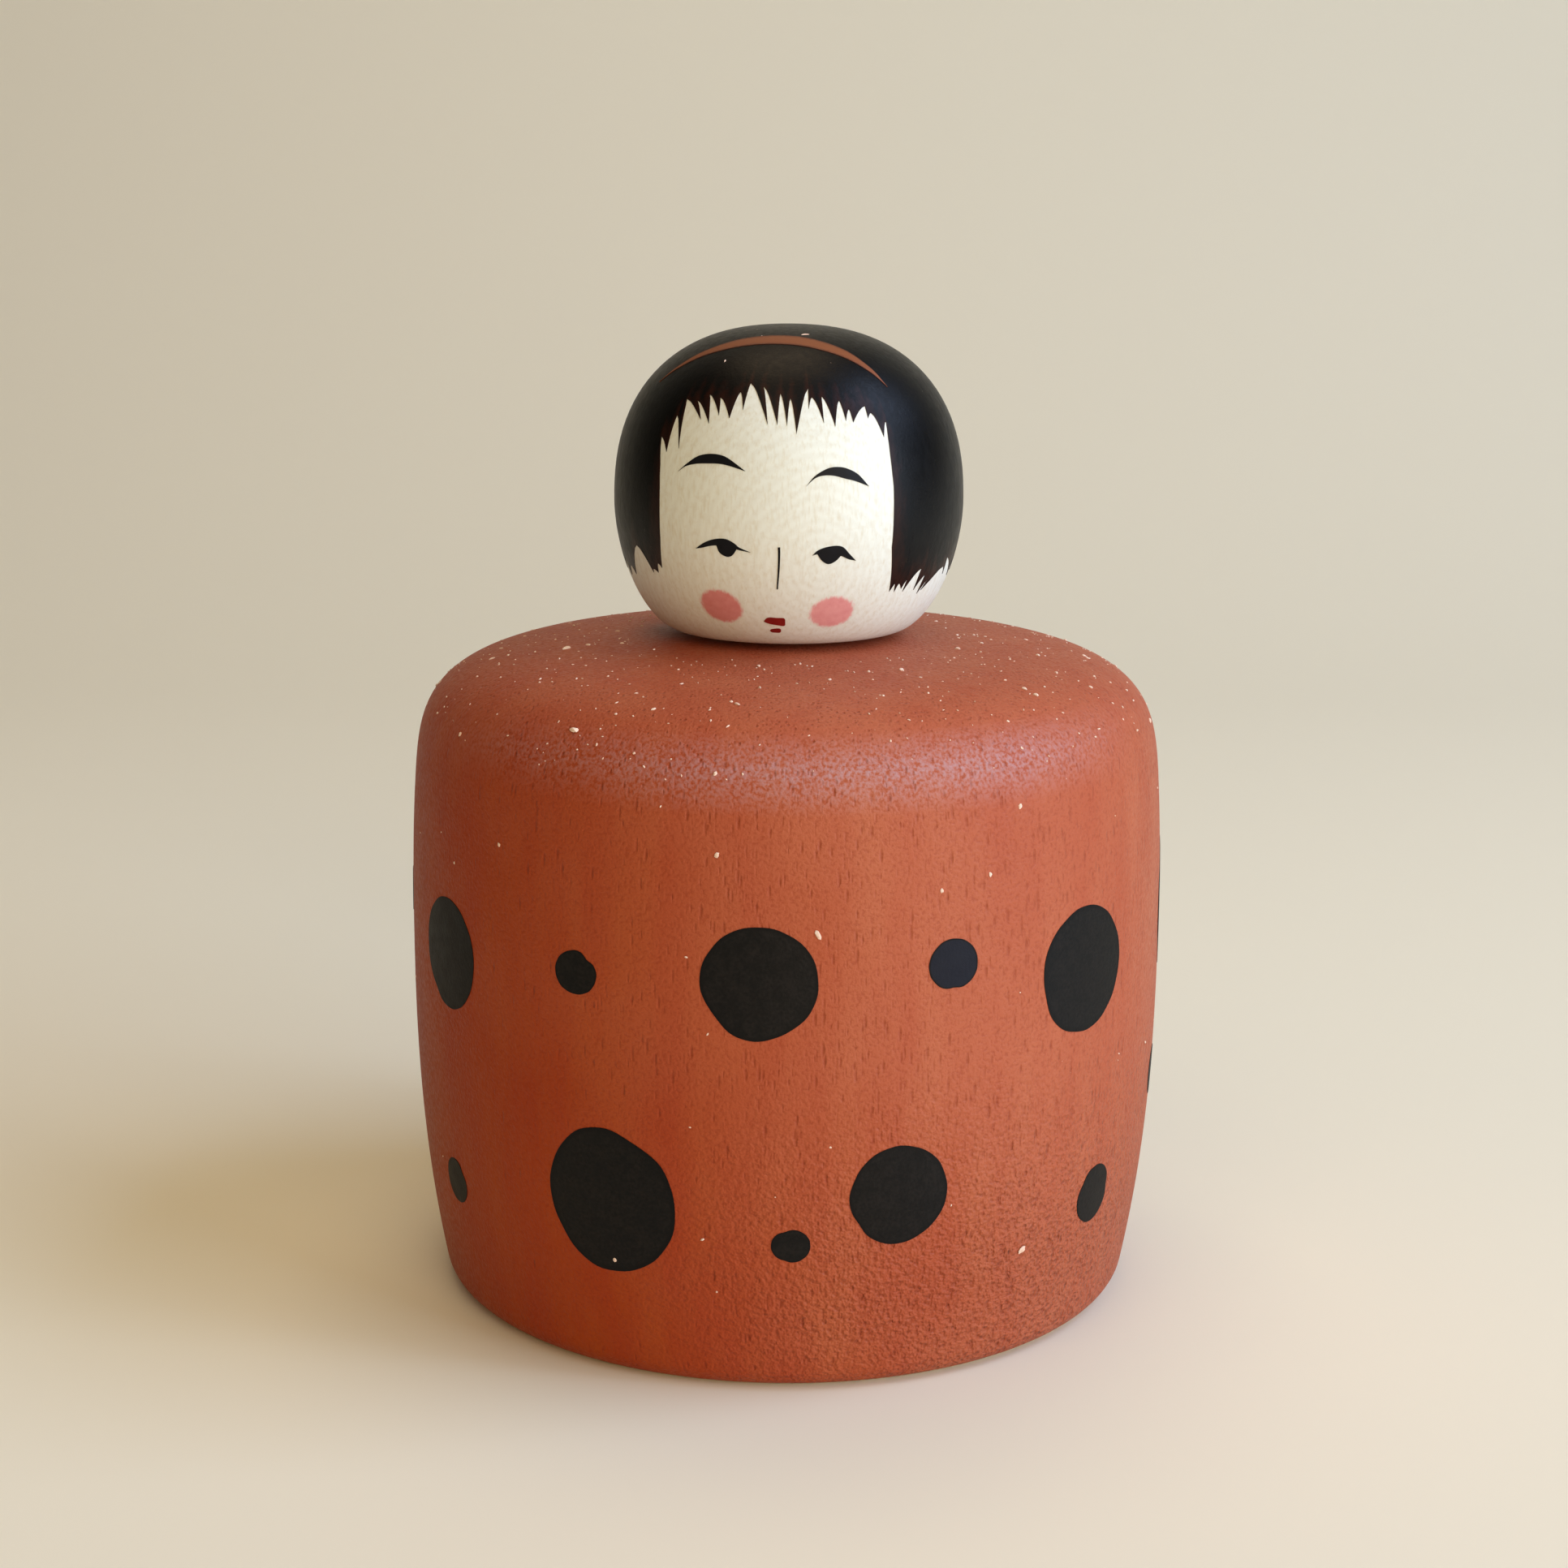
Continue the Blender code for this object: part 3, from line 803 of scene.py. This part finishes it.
RIGHT_LOCK = [
    ("tip", 37.6, 3.4), ("root", 38.8, 4.06), ("tip", 39.9, 3.35), ("root", 41.2, 3.86),
    ("tip", 42.9, 3.5), ("root", 44.9, 4.06), ("tip", 44.1, 3.3), ("root", 51.2, 4.65),
    ("tip", 50.0, 3.3), ("root", 54.6, 4.18), ("tip", 53.0, 3.0), ("root", 58.4, 3.93),
    ("tip", 54.8, 3.18), ("root", 67.4, 4.42), ("tip", 69.5, 3.9), ("root", 68.9, 4.97),
    ("tip", 78.5, 3.6), ("root", 81.0, 4.9), ("tip", 84.5, 3.8),
]
STRAND_COLUMNS, SIDE_COLUMNS = 5, 2  # columns of the grid between two marks
CAP_ROWS, EDGE_ROWS = 18, 22         # rows down to CAP_LEVEL, and from there to the edge
CAP_LEVEL = 16.3                     # just above the highest root
SWEEP = 5.0                          # hair beside the face comes from this many degrees behind it
SWEEP_RISE = 2.5                     # and leaves its meridian this much above its end
SWEPT = 25.0                         # degrees of each lock that are swept


def back_strands(start, end, random):
    """Ragged strands round the back: roots and tips by turns at uneven steps."""
    strands = []
    at = start
    while at < end - 3.5:
        strands.append(("root", at, random.uniform(4.4, 5.6)))
        strands.append(("tip", at + random.uniform(1.0, 3.2), random.uniform(3.4, 4.2)))
        at += random.uniform(2.8, 5.6)
    return strands


def hair_marks():
    """Kinds, and ends as (angle, level), once round the head; the last is the first again."""
    random = np.random.default_rng(3)
    front = [
        *LEFT_LOCK, *(("side", *place) for place in LEFT_SIDE), *FRINGE,
        *(("side", *place) for place in RIGHT_SIDE), *RIGHT_LOCK,
    ]
    marks = front + back_strands(87.0, 277.0, random)
    marks.append(("root", front[0][1] + 360, front[0][2]))
    return np.array([kind for kind, _, _ in marks]), np.array([place for _, *place in marks])


def leaving_places(kinds, ends):
    """Where each column of the hair leaves its meridian to lean over to its end.

    A root's column leaves at its end, or, in the locks beside the face, further back and higher
    by the square of the share of the way to the face. The marks between two roots leave at even
    steps of angle from the one to the other: a tip at the mean level of the two, and a side
    point above its own end.
    """
    leaves = ends.copy()
    roots = np.flatnonzero(kinds == "root")
    for corner, back in ((LEFT_LOCK[-2][1], -1), (RIGHT_LOCK[1][1], 1)):
        behind = back * (ends[:, 0] - corner)
        share = np.where((behind >= 0) & (kinds == "root"), 1 - behind / SWEPT, 0).clip(0, 1) ** 2
        leaves += np.stack([back * SWEEP * share, SWEEP_RISE * share], 1)
    for low, high in zip(roots[:-1], roots[1:]):
        between = slice(low + 1, high)
        share = np.linspace(0, 1, high - low + 1)[1:-1]
        leaves[between, 0] = leaves[low, 0] + (leaves[high, 0] - leaves[low, 0]) * share
        mean = 0.5 * (leaves[low, 1] + leaves[high, 1])
        alone = high - low == 2
        leaves[between, 1] = mean if alone else ends[between, 1] + 0.7 * SWEEP_RISE
    return leaves


def hair_columns():
    """Leaving places and ends of all columns, read between the marks. A strand's edge bends away
    from its root as a power of the share of the way, so that the cream wedges are leaf-shaped
    and the tips are thin."""
    kinds, ends = hair_marks()
    leaves = leaving_places(kinds, ends)
    steps = np.where((kinds[:-1] == "side") | (kinds[1:] == "side"), SIDE_COLUMNS, STRAND_COLUMNS)
    low = np.repeat(np.arange(len(steps)), steps)
    part = np.concatenate([np.arange(step) / step for step in steps])
    from_root = (kinds[low] == "root") & (kinds[low + 1] == "tip")
    to_root = (kinds[low] == "tip") & (kinds[low + 1] == "root")

    def bent(power):
        there = np.where(from_root, part**power, part)
        return np.where(to_root, 1 - (1 - part) ** power, there)

    share = np.stack([bent(0.8), bent(1.3)], 1)
    leave = leaves[low] + (leaves[low + 1] - leaves[low]) * part[:, None]
    return leave, ends[low] + (ends[low + 1] - ends[low]) * share


def make_hair():
    """A cap of paint: columns run down the meridians from the top of the head and, below their
    leaving places, lean over evenly to the ragged edge."""
    leave, end = hair_columns()
    end_walk = HEAD_FACE.walk_at(end[:, 1] * MM + HEAD_LEVEL)
    leave_walk = np.minimum(HEAD_FACE.walk_at(leave[:, 1] * MM + HEAD_LEVEL), end_walk - 0.001 * MM)
    cap_walk = HEAD_FACE.walk_at(CAP_LEVEL * MM + HEAD_LEVEL)
    cap = np.linspace(0, cap_walk, CAP_ROWS)[:, None] + 0 * end_walk
    edge = cap_walk + (end_walk - cap_walk) * np.linspace(0, 1, EDGE_ROWS + 1)[1:, None]
    walk = np.concatenate([cap, edge])
    lean = np.clip((walk - leave_walk) / (end_walk - leave_walk), 0, 1)
    angle = leave[:, 0] + (end[:, 0] - leave[:, 0]) * lean
    points = coat_points(HEAD_FACE, angle, walk)
    from_edge = np.broadcast_to((end_walk - walk) / MM, (2, *walk.shape))
    faces = round_faces(*walk.shape)
    new_piece("hair", points, faces, hair_paint, "head", "black_paint", from_edge=from_edge)


# ================================================================ brush strokes on the face
def make_strokes(name, strokes, material, slot, proud=PAINT, across=8, along=48):
    """Marks between an upper and a lower edge, both smooth curves from a mark's left end to its
    right one, with the rows between them at even shares of the way."""
    share = np.linspace(0, 1, across)[:, None, None]
    points, faces = [], []
    for upper, lower in strokes:
        high, low = smooth_line(upper, along), smooth_line(lower, along)
        angle, level = np.moveaxis(high + (low - high) * share, -1, 0)
        walk = HEAD_FACE.walk_at(level * MM + HEAD_LEVEL)
        faces.append(patch_faces(across, along, 2 * across * along * len(points)))
        points.append(coat_points(HEAD_FACE, angle, walk, proud))
    side = np.broadcast_to(share[:, :, 0], (len(strokes), 2, across, along))
    new_piece(name, np.stack(points), np.concatenate(faces), material, "head", slot, across=side)


BROWS = [
    (
        [(-37.9, 10.68), (-34.4, 11.22), (-30.5, 11.67), (-25.9, 11.83), (-21.5, 11.74),
         (-17.9, 11.40), (-13.9, 10.90)],
        [(-37.9, 10.68), (-35.2, 11.00), (-32.0, 11.17), (-28.6, 11.24), (-22.8, 11.27),
         (-18.5, 11.14), (-13.9, 10.90)],
    ),
    (
        [(5.4, 10.08), (8.2, 10.68), (12.3, 11.10), (15.7, 11.18), (18.9, 11.06),
         (22.4, 10.70), (25.9, 9.99)],
        [(5.4, 10.08), (7.9, 10.50), (10.4, 10.68), (14.0, 10.68), (18.1, 10.48),
         (21.4, 10.32), (25.9, 9.99)],
    ),
]
EYES = [
    (
        [(-31.2, 6.13), (-27.8, 6.54), (-24.0, 6.80), (-20.2, 6.84), (-17.4, 6.60),
         (-15.8, 6.36), (-12.2, 6.09)],
        [(-31.2, 6.13), (-28.6, 6.22), (-26.0, 6.35), (-22.9, 6.42), (-18.0, 6.30),
         (-15.8, 6.20), (-12.2, 6.09)],
    ),
    (
        [(7.6, 5.95), (9.3, 6.25), (12.0, 6.44), (15.2, 6.51), (17.6, 6.40), (19.8, 5.98),
         (22.2, 5.55)],
        [(7.6, 5.95), (9.3, 6.02), (11.5, 6.00), (14.5, 5.98), (17.2, 5.86), (19.6, 5.66),
         (22.2, 5.55)],
    ),
]
PUPILS = [
    (
        [(-23.5, 6.55), (-21.8, 6.60), (-20.0, 6.60), (-18.2, 6.50), (-16.8, 6.35)],
        [(-23.5, 6.42), (-22.5, 5.98), (-20.2, 5.76), (-18.3, 5.85), (-16.8, 6.20)],
    ),
    (
        [(9.2, 6.12), (11.2, 6.20), (13.2, 6.20), (15.2, 6.15), (16.9, 6.00)],
        [(9.2, 6.00), (10.8, 5.60), (13.0, 5.40), (15.3, 5.58), (16.9, 5.90)],
    ),
]
NOSE = [
    (
        [(-3.40, 6.44), (-3.35, 5.90), (-3.50, 5.00), (-3.95, 3.84)],
        [(-2.65, 6.44), (-2.65, 5.90), (-2.90, 5.00), (-3.50, 3.84)],
    ),
]
LIPS = [
    (
        [(-9.2, 1.72), (-8.2, 1.91), (-6.9, 1.99), (-4.2, 1.96), (-1.7, 1.95), (-1.1, 1.84)],
        [(-9.2, 1.72), (-8.2, 1.62), (-6.5, 1.54), (-4.2, 1.48), (-1.9, 1.43), (-1.1, 1.50)],
    ),
    (
        [(-7.2, 1.12), (-6.5, 1.19), (-5.0, 1.23), (-3.5, 1.24), (-2.8, 1.18)],
        [(-7.2, 1.06), (-6.5, 0.98), (-5.0, 0.96), (-3.5, 0.96), (-2.8, 1.04)],
    ),
]
BAND = [
    (
        [(-65.6, 15.58), (-61.0, 16.51), (-53.1, 17.48), (-38.4, 18.18), (-14.4, 18.45),
         (13.2, 18.34), (31.3, 17.76), (39.1, 16.73), (42.3, 15.58)],
        [(-65.6, 15.58), (-59.6, 16.42), (-49.1, 17.25), (-32.1, 17.82), (-11.0, 18.02),
         (10.4, 17.88), (27.5, 17.34), (37.3, 16.48), (42.3, 15.58)],
    ),
]


# ================================================================ the set
def make_floor():
    """A level sheet that curves up behind: straight, then a quarter circle, then straight."""
    half_width, near, far, rise, bend = 1.5, -0.8, 0.55, 0.9, 0.35
    turn = np.linspace(0, 0.5 * math.pi, 24)
    y = np.concatenate([[near], far - bend + bend * np.sin(turn), [far]])
    z = np.concatenate([[0], bend - bend * np.cos(turn), [rise]])
    x = np.array([-half_width, half_width])[:, None]
    points = np.stack([x + 0 * y, y + 0 * x, z + 0 * x], -1)
    mesh = bpy.data.meshes.new("floor")
    mesh.from_pydata(points.reshape(-1, 3).tolist(), [], grid_faces(2, len(y)).tolist())
    mesh.shade_smooth()
    paper = new_material("paper_backdrop", Base_Color=linear("#efebd6"), Roughness=0.8)[0]
    mesh.materials.append(paper)
    floor = bpy.data.objects.new("floor", mesh)
    bpy.context.scene.collection.objects.link(floor)


def make_light(name, angle, elevation, power, colour):
    """A square softbox aimed at the doll's middle from an angle round it and an elevation."""
    distance, size = 0.6, 0.34
    lamp = bpy.data.lights.new(name, "AREA")
    lamp.shape = "SQUARE"
    lamp.size = size
    lamp.energy = power
    lamp.color = linear(colour)[:3]
    place = bpy.data.objects.new(name, lamp)
    a, e = math.radians(angle), math.radians(elevation)
    centre = np.array([0, 0, 0.5 * HEAD_HIGH[2]])
    offset = distance * np.array([math.cos(e) * math.sin(a), -math.cos(e) * math.cos(a), math.sin(e)])
    place.location = centre + offset
    place.rotation_euler = (math.radians(90 - elevation), 0, math.radians(angle))
    bpy.context.scene.collection.objects.link(place)


def make_camera():
    """A normal lens held a little above the doll and tipped down towards it."""
    lens = bpy.data.cameras.new("camera")
    lens.sensor_width = 36
    lens.lens = 64.97
    camera = bpy.data.objects.new("camera", lens)
    camera.location = (-0.19 * MM, -178.0 * MM, 71.05 * MM)
    camera.rotation_mode = "XYZ"
    pitch, roll = math.radians(12.38), 0.0062
    tilt = np.array([
        [1, 0, 0],
        [0, math.sin(pitch), -math.cos(pitch)],
        [0, math.cos(pitch), math.sin(pitch)],
    ])
    spin = np.array([
        [math.cos(roll), -math.sin(roll), 0],
        [math.sin(roll), math.cos(roll), 0],
        [0, 0, 1],
    ])
    turned = np.eye(4)
    turned[:3, :3] = tilt @ spin
    turned[:3, 3] = camera.location
    camera.matrix_world = Matrix(turned.tolist())
    bpy.context.scene.collection.objects.link(camera)
    bpy.context.scene.camera = camera


make_body()
make_head()
make_dots()
make_hair()
make_body_dust()
make_head_dust()
make_strokes("brows", BROWS, line_paint, "black_paint")
make_strokes("eyes", EYES + PUPILS, line_paint, "black_paint")
make_strokes("nose", NOSE, line_paint, "black_paint")
make_strokes("lips", LIPS, crimson_paint, "crimson_paint")
make_strokes("headband", BAND, orange_paint, "orange_paint", proud=2 * PAINT, along=96)
bpy.data.objects["neck_peg"].material_slots[0].material = bare_wood

make_floor()
make_light("window", 60, 14, 2.55, "#d8e8ff")
make_light("window_top", 84, 46, 2.00, "#c6daff")
make_light("room", 20, 12, 1.50, "#ffe2b8")
make_light("room_top", -15, 55, 0.60, "#ffe8c8")
make_light("room_left", -60, 25, 0.20, "#ffd8a8")
make_light("ceiling", -170, 78, 0.95, "#ffe2bc")
make_camera()

world = bpy.data.worlds.new("room")
world.use_nodes = True
world.node_tree.nodes["Background"].inputs["Color"].default_value = linear("#e8dcc8")
world.node_tree.nodes["Background"].inputs["Strength"].default_value = 0.03
bpy.context.scene.world = world
bpy.context.scene.view_settings.view_transform = "Standard"
